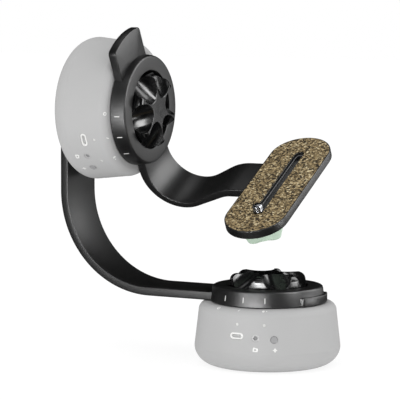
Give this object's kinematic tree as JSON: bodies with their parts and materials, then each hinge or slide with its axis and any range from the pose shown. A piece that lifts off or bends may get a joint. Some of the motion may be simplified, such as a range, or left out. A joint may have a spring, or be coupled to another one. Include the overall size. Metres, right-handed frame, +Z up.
{
  "type": "motorized pan tilt head",
  "caption": "Motorized pan tilt head: a round motor unit carries an L-shaped arm, a second motor unit and a swept arm with a cork-faced camera platform and sliding camera screw.",
  "frame": {"origin": "mouth of the tripod socket, at the middle of the lower motor unit's flat underside", "axes": "+Z up along the pan axis, +X along the tilt axis from the tilt unit's back to its clamp disc, -Y to the front where the ports are"},
  "size_m": [0.1865, 0.1108, 0.2062],
  "materials": {
    "casing_plastic": "fine satin moulding",
    "brass": "turned",
    "cast_alloy": "die cast",
    "bearing_steel": "ground and polished",
    "spring_steel": "blackened",
    "rubber": "moulded",
    "gear_nylon": "moulded",
    "motor_steel": "drawn can",
    "battery_wrap": "shrink wrap",
    "board": "solder mask",
    "port_steel": "stamped",
    "jack_plastic": "moulded",
    "button_plastic": "moulded",
    "light_pipe": "clear moulded",
    "screw_steel": "zinc plated",
    "black_alloy": "satin black anodised",
    "knob_plastic": "gloss black moulded",
    "washer_nylon": "moulded",
    "cork": "granulated cork sheet",
    "bright_steel": "bright turned",
    "mint_plastic": "pale green moulded"
  },
  "bodies": {
    "base": {"pan_shell": "casing_plastic", "pan_base_cover": "casing_plastic", "pan_socket": "brass", "pan_chassis": "cast_alloy", "pan_bearing_outer": "bearing_steel", "pan_motor": "motor_steel", "pan_battery": "battery_wrap", "pan_circuit_board": "board", "pan_charging_port": "port_steel", "pan_camera_jack": "jack_plastic", "pan_status_lights": "light_pipe", "pan_base_screws": "screw_steel", "pan_chassis_screws": "screw_steel"},
    "pan_stage": {"pan_turntable": "cast_alloy", "pan_friction_ring": "rubber", "pan_drive_gear": "gear_nylon", "pan_bearing_inner": "bearing_steel", "pan_retaining_ring": "spring_steel", "pan_arm": "black_alloy", "arm_pad": "rubber", "tilt_mount_screw": "screw_steel", "tilt_shell": "casing_plastic", "tilt_base_cover": "casing_plastic", "tilt_socket": "brass", "tilt_chassis": "cast_alloy", "tilt_bearing_outer": "bearing_steel", "tilt_motor": "motor_steel", "tilt_battery": "battery_wrap", "tilt_circuit_board": "board", "tilt_charging_port": "port_steel", "tilt_camera_jack": "jack_plastic", "tilt_status_lights": "light_pipe", "tilt_base_screws": "screw_steel", "tilt_chassis_screws": "screw_steel"},
    "pan_drive": {"pan_pinion": "brass", "pan_motor_shaft": "bearing_steel"},
    "pan_balls": {"pan_bearing_balls": "bearing_steel"},
    "pan_knob_lift": {"pan_knob_washer": "washer_nylon"},
    "pan_knob": {"pan_knob": "knob_plastic", "pan_clamp_screw": "screw_steel"},
    "pan_button": {"pan_power_button": "button_plastic"},
    "tilt_stage": {"tilt_turntable": "cast_alloy", "tilt_friction_ring": "rubber", "tilt_drive_gear": "gear_nylon", "tilt_bearing_inner": "bearing_steel", "tilt_retaining_ring": "spring_steel", "tilt_arm": "black_alloy", "cork_pad": "cork"},
    "tilt_drive": {"tilt_pinion": "brass", "tilt_motor_shaft": "bearing_steel"},
    "tilt_balls": {"tilt_bearing_balls": "bearing_steel"},
    "tilt_knob_lift": {"tilt_knob_washer": "washer_nylon"},
    "tilt_knob": {"tilt_knob": "knob_plastic", "tilt_clamp_screw": "screw_steel"},
    "tilt_button": {"tilt_power_button": "button_plastic"},
    "screw_slider": {"screw_washer": "washer_nylon"},
    "camera_screw": {"camera_screw": "bright_steel", "camera_screw_knob": "mint_plastic"}
  },
  "joints": [
    {"name": "pan_turn", "type": "hinge", "parent": "base", "child": "pan_stage", "pos_m": [0, 0, 0.0392], "axis": [0, 0, 1], "continuous": true},
    {"name": "pan_pinion_turn", "type": "hinge", "parent": "base", "child": "pan_drive", "pos_m": [0, 0.0304, 0.031], "axis": [0, 0, 1], "continuous": true},
    {"name": "pan_ball_roll", "type": "hinge", "parent": "base", "child": "pan_balls", "pos_m": [0, 0, 0.0235], "axis": [0, 0, 1], "continuous": true},
    {"name": "pan_knob_rise", "type": "slide", "parent": "pan_stage", "child": "pan_knob_lift", "axis": [0, 0, 1], "range_m": [0, 0.004]},
    {"name": "pan_knob_turn", "type": "hinge", "parent": "pan_knob_lift", "child": "pan_knob", "pos_m": [0, 0, 0.0492], "axis": [0, 0, 1], "range_deg": [0, 900]},
    {"name": "pan_button_press", "type": "slide", "parent": "base", "child": "pan_button", "axis": [-0.506, 0.8625, 0], "range_m": [0, 0.0008], "stiffness_N_per_m": 400, "springref_m": -0.0004},
    {"name": "tilt_turn", "type": "hinge", "parent": "pan_stage", "child": "tilt_stage", "pos_m": [-0.0914, 0, 0.1546], "axis": [1, 0, 0], "continuous": true},
    {"name": "tilt_pinion_turn", "type": "hinge", "parent": "pan_stage", "child": "tilt_drive", "pos_m": [-0.0996, 0.02777, 0.16697], "axis": [1, 0, 0], "continuous": true},
    {"name": "tilt_ball_roll", "type": "hinge", "parent": "pan_stage", "child": "tilt_balls", "pos_m": [-0.1071, 0, 0.1546], "axis": [1, 0, 0], "continuous": true},
    {"name": "tilt_knob_rise", "type": "slide", "parent": "tilt_stage", "child": "tilt_knob_lift", "axis": [1, 0, 0], "range_m": [0, 0.004]},
    {"name": "tilt_knob_turn", "type": "hinge", "parent": "tilt_knob_lift", "child": "tilt_knob", "pos_m": [-0.0814, 0, 0.1546], "axis": [1, 0, 0], "range_deg": [0, 900]},
    {"name": "tilt_button_press", "type": "slide", "parent": "pan_stage", "child": "tilt_button", "axis": [0, 0.5821, 0.8131], "range_m": [0, 0.0008], "stiffness_N_per_m": 400, "springref_m": -0.0004},
    {"name": "screw_slide", "type": "slide", "parent": "tilt_stage", "child": "screw_slider", "axis": [0, 0.8878, 0.4602], "range_m": [0, 0.067]},
    {"name": "camera_screw_turn", "type": "hinge", "parent": "screw_slider", "child": "camera_screw", "pos_m": [0, -0.01206, 0.09203], "axis": [0, -0.4602, 0.8878], "continuous": true}
  ],
  "couplings": [
    {"joint": "pan_pinion_turn", "follows": "pan_turn", "ratio": -3},
    {"joint": "pan_ball_roll", "follows": "pan_turn", "ratio": 0.42962},
    {"joint": "pan_knob_rise", "follows": "pan_knob_turn", "m_per_rad": 0.00025266},
    {"joint": "tilt_pinion_turn", "follows": "tilt_turn", "ratio": -3},
    {"joint": "tilt_ball_roll", "follows": "tilt_turn", "ratio": 0.42962},
    {"joint": "tilt_knob_rise", "follows": "tilt_knob_turn", "m_per_rad": 0.00025266}
  ]
}
